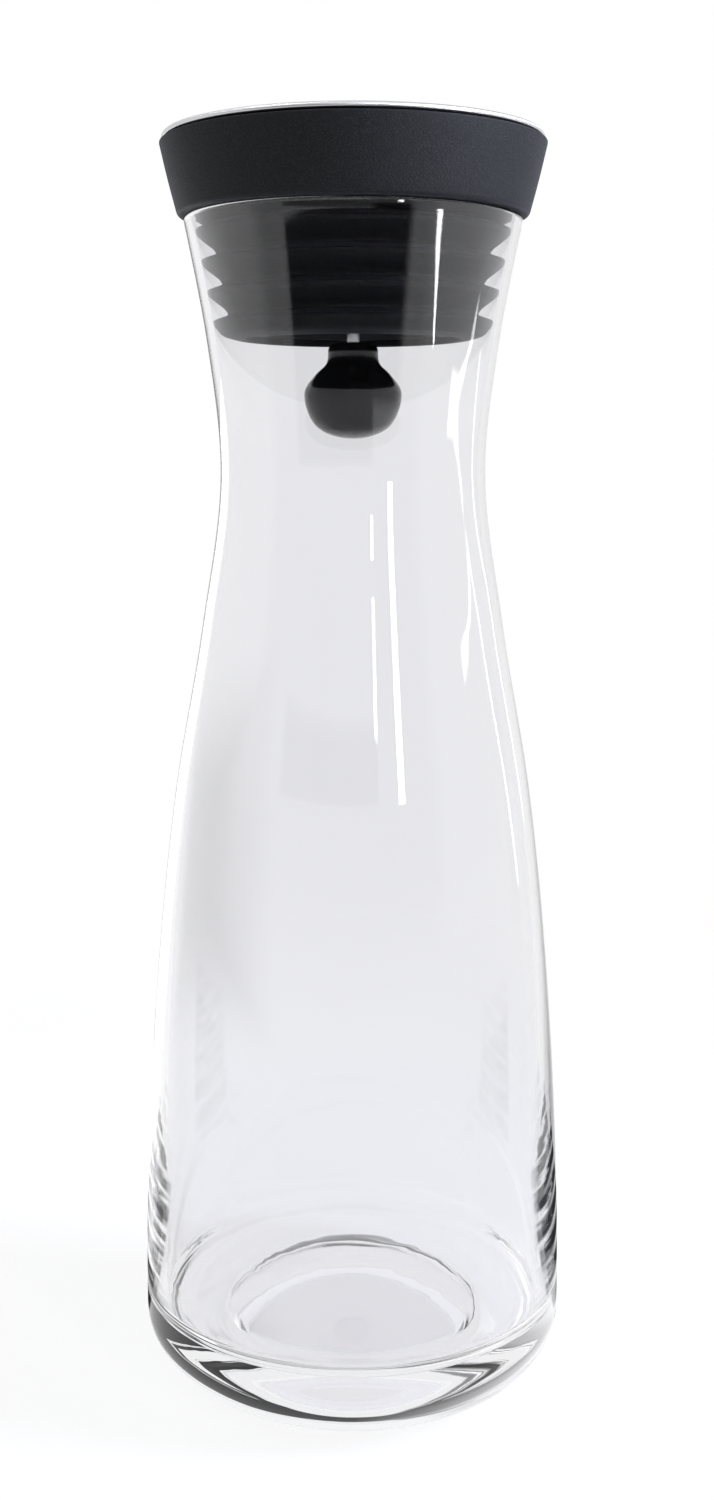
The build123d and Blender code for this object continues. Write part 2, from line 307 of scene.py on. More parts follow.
def cloth(name, spot, cover_of, columns, rows, material):
    """A grid of cloth. spot gives a point, and cover_of the opacity there, for two numbers from 0 to 1."""
    mesh = bpy.data.meshes.new(name)
    grid = [(i / (columns - 1), j / (rows - 1)) for j in range(rows) for i in range(columns)]
    faces = [
        (j * columns + i, j * columns + i + 1, (j + 1) * columns + i + 1, (j + 1) * columns + i)
        for j in range(rows - 1) for i in range(columns - 1)
    ]
    mesh.from_pydata([spot(u, v) for u, v in grid], [], faces)
    cover = mesh.attributes.new(COVER, "FLOAT", "POINT")
    for k, (u, v) in enumerate(grid):
        cover.data[k].value = cover_of(u, v)
    made = bpy.data.objects.new(name, mesh)
    scene.collection.objects.link(made)
    made.data.materials.append(material)
    made.visible_camera = made.visible_diffuse = made.visible_shadow = False
    return made


black_cloth = cloth_material("black_cloth", [MIRRORED])
black_velvet = cloth_material("black_velvet", [MIRRORED, NEAR_WALL])
grey_gauze = cloth_material("grey_gauze", [])
print("cloths:", black_cloth.name, black_velvet.name, grey_gauze.name)

# %% Cloths on arcs round the carafe
ARC_COLUMNS, ARC_ROWS = 97, 25


def arc_cloth(name, radius, azimuths, heights, fade, opacity, material):
    """Cloth on an arc round the axis, between azimuths in degrees and heights in metres.

    It fades in from its edges over two shares of its length and of its height.
    """
    def spot(u, v):
        turn = math.radians(azimuths[0] + (azimuths[1] - azimuths[0]) * u)
        return spot_at(turn, radius, heights[0] + (heights[1] - heights[0]) * v)

    def cover(u, v):
        return opacity * eased(min(u, 1 - u), 0, fade[0]) * eased(min(v, 1 - v), 0, fade[1])

    return cloth(name, spot, cover, ARC_COLUMNS, ARC_ROWS, material)


room_cloth = arc_cloth("room_cloth", 0.66, (-75, 62), (0.0, 0.55), (0.12, 0.3), 0.72, black_cloth)
room_cloth.visible_transmission = False
arc_cloth("neck_cloth", 0.27, (-47, 17), (0.165, 0.215), (0.04, 0.1), 1.0, black_velvet)
arc_cloth("neck_cloth_right", 0.07, (7, 33), (0.2235, 0.272), (0.2, 0.05), 1.0, black_velvet)
arc_cloth("outline_cloth", 0.25, (-172, -151), (0.0, 0.40), (0.12, 0.05), 0.8, black_velvet)

# %% Cards on the table and the gauze
CARD_GRID = 49
CARD_LIFT = 0.5                   # the cards lie this high, in millimetres
STROKES = (3.0, 5.5)              # how many dark strokes cross a card, along each of its sides
STROKE_EDGE = (-0.8, -0.3)        # a stroke fades in while its sine wave climbs between these heights


def card(name, corners, fade, opacity, material, strokes=None):
    """Dark card between four corners in millimetres. It may be cut in slanting strokes."""
    points = [Vector(corner) * MM for corner in corners]

    def spot(u, v):
        return (points[0].lerp(points[1], u)).lerp(points[3].lerp(points[2], u), v)[:]

    def cover(u, v):
        edge = opacity * eased(min(u, 1 - u, v, 1 - v), 0, fade)
        if not strokes:
            return edge
        return edge * eased(math.sin(2 * math.pi * (strokes[0] * u + strokes[1] * v)), *STROKE_EDGE)

    return cloth(name, spot, cover, CARD_GRID, CARD_GRID, material)


left_corners = [(-46, 16), (-50, 86), (-140, 150), (-140, 50)]
right_corners = [(50, 16), (54, 92), (150, 165), (150, 50)]
for name, corners in (("low_card_left", left_corners), ("low_card_right", right_corners)):
    card(name, [(x, y, CARD_LIFT) for x, y in corners], 0.05, 1.0, black_cloth, STROKES)
veil_corners = [(-130, 200, 0), (-28, 200, 0), (-28, 200, 160), (-130, 200, 160)]
veil = card("grey_veil", veil_corners, 0.4, 0.26, grey_gauze)
veil.visible_glossy = False

# %% [markdown]
# The streaks in the neck bend with it, and no straight lamp makes them. They come from ribbons of light
# that curve round the carafe close by, on the paths that the streaks' reflected rays take. Their edges
# fade out, and only reflections see them.

# %% Ribbons of light
RIBBON_STRENGTH = 25.0
RIBBON_FADE = (0.35, 0.06)        # a ribbon fades in over these shares of its width and of its length
RIBBON_COLUMNS, RIBBON_ROWS = 9, 12    # points across it, and rows for each stretch of its path
LAST_PART = 0.001                 # the path's end is drawn this little before it, in its last stretch

ribbon_light = bpy.data.materials.new("ribbon_light")
ribbon_light.use_nodes = True
ribbon_tree = ribbon_light.node_tree
ribbon_tree.nodes.clear()
ribbon_cover = add(ribbon_tree, "ShaderNodeAttribute", {"attribute_name": COVER})
clear = add(ribbon_tree, "ShaderNodeBsdfTransparent")
shine = add(ribbon_tree, "ShaderNodeEmission", {"Color": (1, 1, 1, 1), "Strength": RIBBON_STRENGTH})
ribbon_mix = add(
    ribbon_tree, "ShaderNodeMixShader", {},
    {"Fac": ribbon_cover.outputs["Fac"], 1: clear.outputs[0], 2: shine.outputs[0]},
)
add(ribbon_tree, "ShaderNodeOutputMaterial", {}, {"Surface": ribbon_mix.outputs[0]})


def ribbon(name, distance_mm, share, path):
    """Light along a path of (azimuth in degrees, height in mm, width in mm), at a share of full strength."""
    points = [Vector((distance_mm * math.radians(azimuth), height)) for azimuth, height, width in path]
    widths = [width for azimuth, height, width in path]
    stretches = len(path) - 1

    def spot(u, v):
        reached = min(v * stretches, stretches - LAST_PART)
        index = int(reached)
        part = reached - index
        along = points[index + 1] - points[index]
        across = Vector((along.y, -along.x)).normalized()
        width = widths[index] + (widths[index + 1] - widths[index]) * part
        point = points[index] + along * part + across * width * (u - 0.5)
        return tuple(MM * c for c in spot_at(point.x / distance_mm, distance_mm, point.y))

    def cover(u, v):
        return share * eased(min(u, 1 - u), 0, RIBBON_FADE[0]) * eased(min(v, 1 - v), 0, RIBBON_FADE[1])

    made = cloth(name, spot, cover, RIBBON_COLUMNS, RIBBON_ROWS * stretches + 1, ribbon_light)
    made.visible_transmission = False
    return made


ribbon("neck_ribbon", 120, 1.0, [(50.0, 260, 12), (52.0, 246, 9), (55.0, 235, 5), (57.2, 228, 3.5)])
ribbon("right_ribbon", 250, 0.3, [(81.0, 203.5, 8), (89.0, 205.5, 8), (95.0, 212, 8), (102.5, 228, 8)])
ribbon("right_ribbon_low", 120, 0.3, [(96.5, 216, 4.5), (98.8, 185, 5.0), (101.5, 113, 5.0)])
ribbon("edge_ribbon", 120, 0.16, [(106.0, 237, 5), (112.0, 218, 5), (118.5, 200, 5), (119.0, 125, 5)])

# %% [markdown]
# ## Turned shapes
# Nearly every piece of the carafe is round, so one helper makes them: it spins an outline of radius and
# height round the axis. Blender's Screw modifier does the same by hand. In code the outline stays a list of
# sizes that can be held against the CAD model. Corners are small arcs, because a real edge is never
# perfectly sharp and it is the rounded edge that catches the light.

# %% Spin an outline into a mesh
ON_AXIS_MM = 1e-4                 # a ring of points nearer to the axis than this is a single point
LARGEST_CUT = 0.45                # a rounded corner takes at most this share of the edges beside it


def arc(centre, radius_r, radius_z, start_deg, end_deg, steps=12):
    """Points of an elliptical arc in an outline, with angles from the outward direction."""
    points = []
    for i in range(steps + 1):
        angle = math.radians(start_deg + (end_deg - start_deg) * i / steps)
        points.append((centre[0] + radius_r * math.cos(angle), centre[1] + radius_z * math.sin(angle)))
    return points


def turned(name, outline, closed=True, segments=192):
    """A smooth object made by turning an outline of (radius, height) in millimetres round the Z axis.

    A closed outline is a loop. An open one starts and ends on the axis.
    """
    mesh = bpy.data.meshes.new(name)
    shape = bmesh.new()
    rings = []
    for radius, height in outline:
        if radius < ON_AXIS_MM:
            rings.append([shape.verts.new((0, 0, height * MM))])
            continue
        rings.append([
            shape.verts.new((
                radius * MM * math.cos(2 * math.pi * i / segments),
                radius * MM * math.sin(2 * math.pi * i / segments),
                height * MM,
            ))
            for i in range(segments)
        ])
    pairs = list(zip(rings, rings[1:] + rings[:1])) if closed else list(zip(rings, rings[1:]))
    for low, high in pairs:
        if len(low) == 1 and len(high) == 1:
            continue
        for i in range(segments):
            j = (i + 1) % segments
            if len(low) == 1:
                shape.faces.new((low[0], high[j], high[i]))
            elif len(high) == 1:
                shape.faces.new((low[i], low[j], high[0]))
            else:
                shape.faces.new((low[i], low[j], high[j], high[i]))
    bmesh.ops.recalc_face_normals(shape, faces=shape.faces)
    for face in shape.faces:
        face.smooth = True
    shape.to_mesh(mesh)
    shape.free()
    made = bpy.data.objects.new(name, mesh)
    scene.collection.objects.link(made)
    return made


def rounded(corners, radius, steps=5):
    """A closed outline with each corner made a small arc. A corner's third number is its own radius."""
    points = []
    count = len(corners)
    for i, corner in enumerate(corners):
        here = Vector(corner[:2])
        before = Vector(corners[i - 1][:2]) - here
        after = Vector(corners[(i + 1) % count][:2]) - here
        wanted = corner[2] if len(corner) > 2 else radius
        cut = min(wanted, before.length * LARGEST_CUT, after.length * LARGEST_CUT)
        start, end = here + before.normalized() * cut, here + after.normalized() * cut
        for k in range(steps + 1):
            t = k / steps
            point = (1 - t) ** 2 * start + 2 * t * (1 - t) * here + t ** 2 * end
            points.append((point.x, point.y))
    return points


print("points in a rounded square:", len(rounded([(0, 0), (1, 0), (1, 1), (0, 1)], 0.1)))

# %% [markdown]
# ## The glass
# The carafe is blown and its base is heavy. The wall is under 2 mm at the mouth and over 4 mm near the
# floor, and the floor is a thick lens. Both sides of the wall are drawn, because glass without an inside
# looks like a solid block. A Solidify modifier would give an even wall. This wall grows with depth, so the
# outline runs up the outside, over the rim and down the inside.

# %% Outline of the glass
FOOT_R, FOOT_RING_WIDTH, PUNT_RISE = 31.6, 3.6, 6.0
HEEL = [(35.2, 1.06), (38.9, 2.85), (44.4, 6.54), (47.8, 10.57), (50.1, 18.3)]
BODY = [(47.05, 91.4), (41.2, 146.1), (34.8, 182.7), (30.25, 219.2), (32.9, 246.0)]
MOUTH_R, GLASS_TOP, RIM_WALL, HEEL_WALL = 37.9, 274.0, 1.7, 4.2
FLOOR_Z, FLOOR_CORNER_RISE, DOME_R, DOME_RISE = 17.2, 7.2, 31.0, 10.0
CORNER_INSET = 0.3                # the body is this much narrower at the inner corner than at its widest
OUT, UP, FLARED = (1, 0), (0, 1), (0.2, 1)    # directions in which the outline runs


def smooth_through(points, first, last, steps=16):
    """A cubic curve through points, with unit tangents first and last at its ends."""
    knots = [Vector(p) for p in points]
    chords = [(b - a).length for a, b in zip(knots, knots[1:])]
    tangents = [Vector(first).normalized()]
    for i in range(1, len(knots) - 1):
        slope_in = (knots[i] - knots[i - 1]) / chords[i - 1]
        slope_out = (knots[i + 1] - knots[i]) / chords[i]
        share = chords[i - 1] / (chords[i - 1] + chords[i])
        tangents.append(slope_in * (1 - share) + slope_out * share)
    tangents.append(Vector(last).normalized())
    curve = []
    for i, chord in enumerate(chords):
        for k in range(steps):
            t = k / steps
            curve.append(
                (2 * t**3 - 3 * t**2 + 1) * knots[i]
                + (t**3 - 2 * t**2 + t) * chord * tangents[i]
                + (3 * t**2 - 2 * t**3) * knots[i + 1]
                + (t**3 - t**2) * chord * tangents[i + 1]
            )
    curve.append(knots[-1])
    return [(p.x, p.y) for p in curve]


def wall(height):
    """Glass thickness: thin at the mouth and heavier towards the floor."""
    depth = (GLASS_TOP - height) / (GLASS_TOP - FLOOR_Z)
    return RIM_WALL + (HEEL_WALL - RIM_WALL) * depth ** 2


def cap(edge_r, edge_z, rise, steps=24):
    """A shallow round cap from its centre out to its edge."""
    sphere = (edge_r**2 + rise**2) / (2 * rise)
    points = []
    for i in range(steps + 1):
        radius = edge_r * i / steps
        points.append((radius, edge_z + rise - sphere + math.sqrt(sphere**2 - radius**2)))
    return points


def glass_outline():
    """The outline from the middle of the punt, over the foot and up the outside, and back down inside."""
    mouth_z = GLASS_TOP - RIM_WALL / 2
    body = [HEEL[-1], *BODY, (MOUTH_R, mouth_z)]
    corner_z = FLOOR_Z + FLOOR_CORNER_RISE
    corner_r = HEEL[-1][0] - CORNER_INSET - wall(corner_z)
    inside = [(corner_r, corner_z)] + [(r - wall(z), z) for r, z in body[1:-1]]
    inside.append((MOUTH_R - RIM_WALL, mouth_z))
    punt_r = FOOT_R - FOOT_RING_WIDTH
    punt = cap(punt_r, 0.0, PUNT_RISE)[:-1]
    foot = [(punt_r + FOOT_RING_WIDTH * i / 4, 0.0) for i in range(4)]
    heel = smooth_through([(FOOT_R, 0.0), *HEEL], OUT, UP, 8)[:-1]
    outside = smooth_through(body, UP, FLARED)
    rim = arc((MOUTH_R - RIM_WALL / 2, mouth_z), RIM_WALL / 2, RIM_WALL / 2, 0, 180, 12)[1:-1]
    bore = smooth_through(inside, UP, FLARED)[::-1]
    corner = arc((DOME_R, corner_z), corner_r - DOME_R, FLOOR_CORNER_RISE, 0, -90, 28)[1:]
    dome = cap(DOME_R, FLOOR_Z, DOME_RISE)[-2::-1]
    return punt + foot + heel + outside + rim + bore + corner + dome


glass = turned("glass_body", glass_outline(), closed=False, segments=256)
print("glass:", len(glass.data.vertices), "vertices")

# %% [markdown]
# Soda-lime glass is clear and bends light by an index of 1.52. Its skin is fire-polished, so it has no
# roughness at all, but a blown wall is never quite even. Long shallow waves, a few centimetres apart and
# thousandths of a millimetre deep, make the streaks in it tremble. Flatter ripples near the base are deeper.
# So little depth would be lost between the points of a mesh, and a bump in the shader bends light as well.

# %% Finish of the glass
WAVE_WIDTH_MM, WAVE_LENGTH_MM, WAVE_DEPTH_MM = 24.0, 70.0, 0.006
RIPPLE_PITCH_MM, RIPPLE_LENGTH_MM = 7.0, 45.0
RIPPLE_SHARE = 13.0               # how many times deeper than the waves the ripples are at the foot
RIPPLES_BELOW_MM = (35.0, 85.0)   # the ripples die away between these heights

clear_glass, glass_tree, glass_shader = new_material("blown_soda_lime_glass")
glass_shader.inputs["Base Color"].default_value = linear("#f4f4f6")
glass_shader.inputs["Transmission Weight"].default_value = 1.0
glass_shader.inputs["IOR"].default_value = 1.52
glass_shader.inputs["Roughness"].default_value = 0.0


def stretched(tree, width_mm, length_mm):
    """Object coordinates counted in cells of a width and a height in millimetres."""
    where = add(tree, "ShaderNodeTexCoord")
    cells = (1 / (width_mm * MM), 1 / (width_mm * MM), 1 / (length_mm * MM))
    return add(tree, "ShaderNodeMapping", {"Scale": cells}, {"Vector": where.outputs["Object"]}).outputs[0]


def bumped(tree, shader, height, depth_mm):
    """Makes a height pattern stand out of the surface by a depth in millimetres."""
    bump = add(tree, "ShaderNodeBump", {"Strength": 1.0, "Distance": depth_mm * MM}, {"Height": height})
    tree.links.new(bump.outputs[0], shader.inputs["Normal"])


waves = add(
    glass_tree, "ShaderNodeTexNoise", {"Scale": 1.0, "Detail": 1.0, "Roughness": 0.4},
    {"Vector": stretched(glass_tree, WAVE_WIDTH_MM, WAVE_LENGTH_MM)},
)
# The heavy base cools last and pulls flat ripples into the wall above it.
ripples = add(
    glass_tree, "ShaderNodeTexNoise", {"Scale": 1.0, "Detail": 2.0, "Roughness": 0.5},
    {"Vector": stretched(glass_tree, RIPPLE_LENGTH_MM, RIPPLE_PITCH_MM)},
)
where = add(glass_tree, "ShaderNodeTexCoord")
axes = add(glass_tree, "ShaderNodeSeparateXYZ", {}, {"Vector": where.outputs["Object"]})
low_down = add(
    glass_tree, "ShaderNodeMapRange",
    {1: RIPPLES_BELOW_MM[0] * MM, 2: RIPPLES_BELOW_MM[1] * MM, 3: RIPPLE_SHARE, 4: 0.0},
    {"Value": axes.outputs["Z"]},
)
uneven = add(
    glass_tree, "ShaderNodeMath", {"operation": "MULTIPLY_ADD"},
    {0: ripples.outputs[0], 1: low_down.outputs["Result"], 2: waves.outputs[0]},
)
bumped(glass_tree, glass_shader, uneven.outputs[0], WAVE_DEPTH_MM)
print("waves in the glass in mm:", WAVE_WIDTH_MM, "by", WAVE_LENGTH_MM, "and", WAVE_DEPTH_MM, "deep")

# %% [markdown]
# Light that the thick base traps is mirrored on and on inside the wall, and Blender gives it up after four
# times. Such a ray would look black, so the glass is given a painted glow there instead: it emits part of
# the room's light, and the glow is 0 for every other ray. The painted glow is largest at the left and runs
# out towards the middle. The right keeps none, because the photograph's base is dark there.

# %% Painted glow where the base traps light
# Painted glow: the glass emits light for rays that are given up in the base, most at the left, none at the
# right.
PAINTED_GLOW_MAX = 0.65                   # the largest share that comes back
PAINTED_GLOW_FULL_AT, PAINTED_GLOW_NONE_AT = -40 * MM, 0.0    # all of it here and further left, none from here to the right

painted_glow_side = add(
    glass_tree, "ShaderNodeMapRange", {1: PAINTED_GLOW_FULL_AT, 2: PAINTED_GLOW_NONE_AT, 3: PAINTED_GLOW_MAX, 4: 0.0},
    {"Value": axes.outputs["X"]},
)
painted_glow = add(
    glass_tree, "ShaderNodeMath", {"operation": "MULTIPLY"},
    {0: passes(glass_tree, GIVEN_UP), 1: painted_glow_side.outputs["Result"]},
)
# The painted glow is fed into the glass's own emission.
glass_shader.inputs["Emission Color"].default_value = (1, 1, 1, 1)
glass_tree.links.new(painted_glow.outputs[0], glass_shader.inputs["Emission Strength"])
glass.data.materials.append(clear_glass)
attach(glass, "carafe")
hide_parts("glass_carafe")
print("glass shader nodes:", len(glass_tree.nodes))

# %% [markdown]
# ## The stopper
# One silicone moulding closes the mouth: a flared collar above the glass and a plug with four barbed ribs
# in it. Each rib falls outwards to a blunt tip and is undercut below, so it bends when it is pushed in and
# holds when it is pulled. Soft mouldings have soft corners, and here the corners are what shows. A bevel on
# the finished mesh would round them all alike, so each corner of the outline has a radius of its own.

# %% Outline of the stopper
COLLAR_GAP = 0.2                  # between the collar and the rim of the glass
COLLAR_BOTTOM, COLLAR_TOP = GLASS_TOP + COLLAR_GAP, 290.0
COLLAR_BOTTOM_R, COLLAR_TOP_R = 39.3, 43.2
RIB_COUNT, RIB_PITCH, RIB_TOP, RIB_TIP_R = 4, 6.55, 270.9, 35.35
RIB_TAPER, RIB_DEPTH, RIB_TIP, RIB_FALL, RIB_UNDERCUT = 0.19, 4.0, 1.2, 1.35, 2.55
RIB_ROOT_OUT, RIB_TIP_DRAFT = 0.4, 0.3    # the upper face ends outside the root, and the tip falls inwards
STOPPER_BOTTOM, STOPPER_BOTTOM_R, STOPPER_BORE_R = 247.3, 26.2, 25.9
LIP_R, LIP_HEIGHT = 24.5, 1.5     # a lip at the lower end keeps the insert from falling through
LEAD_R, LEAD_Z = 29.7, 248.1      # under the lowest rib the plug narrows, to find its way in
PLUG_R, PLUG_TOP_R, PLUG_TOP = 35.6, 35.9, 273.4
RECESS_R, RECESS_Z = 38.8, 280.0
COLLAR_BULGE = 0.15               # the collar's flared side is this much fuller than a cone


def rib_corners():
    """Corners from the top rib down: root of the upper face, tip, lower edge of the tip, undercut root."""
    corners = []
    for index in range(RIB_COUNT):
        top = RIB_TOP - index * RIB_PITCH
        tip = RIB_TIP_R - RIB_TAPER * (RIB_TOP - top)
        root = tip - RIB_DEPTH
        corners += [
            (root + RIB_ROOT_OUT, top + RIB_FALL, 0.9),
            (tip, top, 0.5),
            (tip - RIB_TIP_DRAFT, top - RIB_TIP, 0.4),
        ]
        if index < RIB_COUNT - 1:
            corners.append((root, top - RIB_TIP - RIB_UNDERCUT, 1.0))
    return corners


stopper_corners = [
    (STOPPER_BOTTOM_R, STOPPER_BOTTOM, 0.8),
    (LIP_R, STOPPER_BOTTOM, 0.5),
    (LIP_R, STOPPER_BOTTOM + LIP_HEIGHT, 0.3),
    (STOPPER_BORE_R, STOPPER_BOTTOM + LIP_HEIGHT, 0.2),
    (STOPPER_BORE_R, RECESS_Z, 0.3),
    (RECESS_R, RECESS_Z, 0.3),
    (RECESS_R, COLLAR_TOP, 0.5),
    (COLLAR_TOP_R, COLLAR_TOP, 0.45),
    ((COLLAR_TOP_R + COLLAR_BOTTOM_R) / 2 + COLLAR_BULGE, (COLLAR_TOP + COLLAR_BOTTOM) / 2, 6.0),
    (COLLAR_BOTTOM_R, COLLAR_BOTTOM, 1.0),
    (PLUG_TOP_R, COLLAR_BOTTOM, 0.2),
    (PLUG_R, PLUG_TOP, 0.4),
    *rib_corners(),
    (LEAD_R, LEAD_Z, 2.0),
]
stopper = turned("stopper_moulding", rounded(stopper_corners, 0.4, 6), segments=256)
print("stopper:", len(stopper.data.vertices), "vertices")

# %% [markdown]
# Silicone is cast in a tool that is blasted with fine grit, so its skin is matt with a grain of a fraction
# of a millimetre. The grain is drawn a little coarser than life, so that it shows, and it breaks the light
# into tiny points. The colour is charcoal, not black, and a thin bluish sheen lies on it where it is seen
# at a slant, from the dust and bloom that silicone always has. One noise sets tone, roughness and height
# together, as one grain does on the real skin.

# %% Matt silicone
GRAIN_MM, GRAIN_DEPTH_MM = 0.28, 0.07    # real blasting grit is nearer 0.1 mm

silicone, silicone_tree, silicone_shader = new_material("matt_blasted_silicone")
silicone_shader.inputs["IOR"].default_value = 1.41
silicone_shader.inputs["Specular IOR Level"].default_value = 0.24
silicone_shader.inputs["Sheen Weight"].default_value = 0.06
silicone_shader.inputs["Sheen Roughness"].default_value = 0.4
silicone_shader.inputs["Sheen Tint"].default_value = linear("#c9cdea")


def tone(tree, shader, factor, low, high, first, second):
    """Base colour that runs from one hex colour to another as a pattern goes from low to high."""
    ramp = add(tree, "ShaderNodeValToRGB", {}, {"Fac": factor})
    ramp.color_ramp.elements[0].position, ramp.color_ramp.elements[1].position = low, high
    ramp.color_ramp.elements[0].color = linear(first)
    ramp.color_ramp.elements[1].color = linear(second)
    tree.links.new(ramp.outputs[0], shader.inputs["Base Color"])


def roughness_from(tree, shader, factor, low, high):
    """Roughness that runs from low to high as a pattern goes from 0 to 1."""
    spread = add(tree, "ShaderNodeMapRange", {3: low, 4: high}, {"Value": factor})
    tree.links.new(spread.outputs["Result"], shader.inputs["Roughness"])


grain = add(
    silicone_tree, "ShaderNodeTexNoise", {"Scale": 1.0, "Detail": 2.0, "Roughness": 0.6},
    {"Vector": stretched(silicone_tree, GRAIN_MM, GRAIN_MM)},
)
tone(silicone_tree, silicone_shader, grain.outputs[0], 0.45, 0.85, "#090a0c", "#212228")
roughness_from(silicone_tree, silicone_shader, grain.outputs[0], 0.75, 0.5)
bumped(silicone_tree, silicone_shader, grain.outputs[0], GRAIN_DEPTH_MM)
stopper.data.materials.append(silicone)
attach(stopper, "stopper")
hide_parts("silicone_stopper")
print("silicone grain in mm:", GRAIN_MM)

# %% [markdown]
# ## The rigid insert
# Inside the soft stopper sits a rigid moulding. Its rim is the seat for the lid's seal, and three spokes
# hold a hub. The rod swings in the hub's hole, and the weight can't pass it, which keeps the lid captive.
# The ring and the hub are turned, and the spokes are blocks with rounded edges that run a little way into
# both. A Boolean would fuse them, but it leaves ragged edges, and the overlap can't be seen.

# %% Blocks and joined meshes
BEVEL_STEPS = 3


def joined(name, pieces):
    """One object from several meshes. The pieces are deleted."""
    shape = bmesh.new()
    for piece in pieces:
        piece.data.transform(piece.matrix_basis)
        shape.from_mesh(piece.data)
        bpy.data.objects.remove(piece)
    mesh = bpy.data.meshes.new(name)
    shape.to_mesh(mesh)
    shape.free()
    made = bpy.data.objects.new(name, mesh)
    scene.collection.objects.link(made)
    return made


def soft_block(name, low, high, edge, turn_deg):
    """A box between two corners in millimetres, with rounded edges, turned about the carafe's axis."""
    shape = bmesh.new()
    bmesh.ops.create_cube(shape, size=1.0)
    for vertex in shape.verts:
        for axis in range(3):
            middle, span = (low[axis] + high[axis]) / 2, high[axis] - low[axis]
            vertex.co[axis] = (middle + span * vertex.co[axis]) * MM
    bmesh.ops.bevel(
        shape, geom=shape.edges[:], offset=edge * MM, segments=BEVEL_STEPS, profile=0.5, affect="EDGES"
    )
    for face in shape.faces:
        face.smooth = True
    mesh = bpy.data.meshes.new(name)
    shape.to_mesh(mesh)
    shape.free()
    made = bpy.data.objects.new(name, mesh)
    made.rotation_euler.z = math.radians(turn_deg)
    scene.collection.objects.link(made)
    return made


print("steps in a rounded edge:", BEVEL_STEPS)

# %% Insert
INSERT_LIFT = 1.6                 # the insert stands this far above the stopper's lower end
BORE_R, TUBE_R, FLANGE_Z, FLANGE_SHEET = 24.1, 25.6, 280.1, 1.5
SEAT_Z, RIM_R, RIM_WIDTH = 286.0, 38.5, 1.9
HUB_R, HUB_HOLE_R, HUB_Z, HUB_HEIGHT = 11.2, 8.4, 269.0, 6.0
SPOKE_COUNT, SPOKE_FIRST_DEG = 3, 60
SPOKE_FROM, SPOKE_TO, SPOKE_HALF_WIDTH = 9.8, 24.85, 1.5

insert_bottom, flange_top, hub_top = STOPPER_BOTTOM + INSERT_LIFT, FLANGE_Z + FLANGE_SHEET, HUB_Z + HUB_HEIGHT
insert_ring = turned("insert_ring", rounded([
    (BORE_R, insert_bottom), (TUBE_R, insert_bottom), (TUBE_R, FLANGE_Z, 0.15), (RIM_R, FLANGE_Z, 0.15),
    (RIM_R, SEAT_Z), (RIM_R - RIM_WIDTH, SEAT_Z), (RIM_R - RIM_WIDTH, flange_top, 0.6),
    (BORE_R, flange_top, 0.6),
], 0.3))
insert_hub = turned("insert_hub", rounded([
    (HUB_HOLE_R, HUB_Z), (HUB_R, HUB_Z), (HUB_R, hub_top), (HUB_HOLE_R, hub_top),
], 0.5), segments=96)
spokes = [
    soft_block(
        f"spoke_{k}", (SPOKE_FROM, -SPOKE_HALF_WIDTH, HUB_Z), (SPOKE_TO, SPOKE_HALF_WIDTH, hub_top),
        edge=0.4, turn_deg=SPOKE_FIRST_DEG + 360 / SPOKE_COUNT * k,
    )
    for k in range(SPOKE_COUNT)
]
insert = joined("insert_moulding", [insert_ring, insert_hub, *spokes])
print("insert:", len(insert.data.vertices), "vertices")

# %% [markdown]
# The insert and the lid's base are polypropylene from a lightly etched tool: even and satin, with a faint
# flow of lighter and darker black, where the melt ran into the mould. Plain black would look like a hole, so
# a slow noise drives the tone and a fine one the roughness.

# %% Satin moulded plastic
ETCH_MM, ETCH_DEPTH_MM = 0.4, 0.02
FLOW_WIDTH_MM, FLOW_LENGTH_MM = 14.0, 30.0

polypropylene, pp_tree, pp_shader = new_material("satin_moulded_polypropylene")
pp_shader.inputs["IOR"].default_value = 1.49
pp_shader.inputs["Specular IOR Level"].default_value = 0.4
etch = add(
    pp_tree, "ShaderNodeTexNoise", {"Scale": 1.0, "Detail": 3.0},
    {"Vector": stretched(pp_tree, ETCH_MM, ETCH_MM)},
)
flow = add(
    pp_tree, "ShaderNodeTexNoise", {"Scale": 1.0, "Detail": 1.0},
    {"Vector": stretched(pp_tree, FLOW_WIDTH_MM, FLOW_LENGTH_MM)},
)
tone(pp_tree, pp_shader, flow.outputs[0], 0.3, 0.7, "#151518", "#1f2023")
roughness_from(pp_tree, pp_shader, etch.outputs[0], 0.38, 0.52)
bumped(pp_tree, pp_shader, etch.outputs[0], ETCH_DEPTH_MM)
insert.data.materials.append(polypropylene)
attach(insert, "insert")
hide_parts("guide_insert")
print("etched grain in mm:", ETCH_MM)

# %% [markdown]
# ## The lid
# The cover is pressed from thin steel sheet, slightly crowned, with its edge rolled under. From the front
# only the rolled edge shows, as a bright line over a dark gap. Under it sits a moulded base with the seal.
# A flat disc with a bevel would look much the same from the front, but from above the light rolls over the
# crown, and a flat top would look dead.

# %% Lid cover
LID_GAP = 0.35                    # between the lid and the top of the collar
LID_R, LID_Z, LID_EDGE, LID_HEM, LID_CROWN, LID_SHEET = 42.6, COLLAR_TOP + LID_GAP, 1.35, 3.6, 1.5, 0.6
edge_r, hem_r = LID_R - LID_EDGE / 2, LID_R - LID_HEM
cover_top = cap(edge_r, LID_Z + LID_EDGE, LID_CROWN, 40)
cover_edge = arc((edge_r, LID_Z + LID_EDGE / 2), LID_EDGE / 2, LID_EDGE / 2, 90, -90, 14)[1:]
cover_under = [(r, z - LID_SHEET) for r, z in cover_top if r < hem_r][::-1]
cover_outline = cover_top + cover_edge + [(hem_r, LID_Z)] + cover_under
cover = turned("lid_cover_sheet", cover_outline, closed=False, segments=256)
print("cover:", len(cover.data.vertices), "vertices")

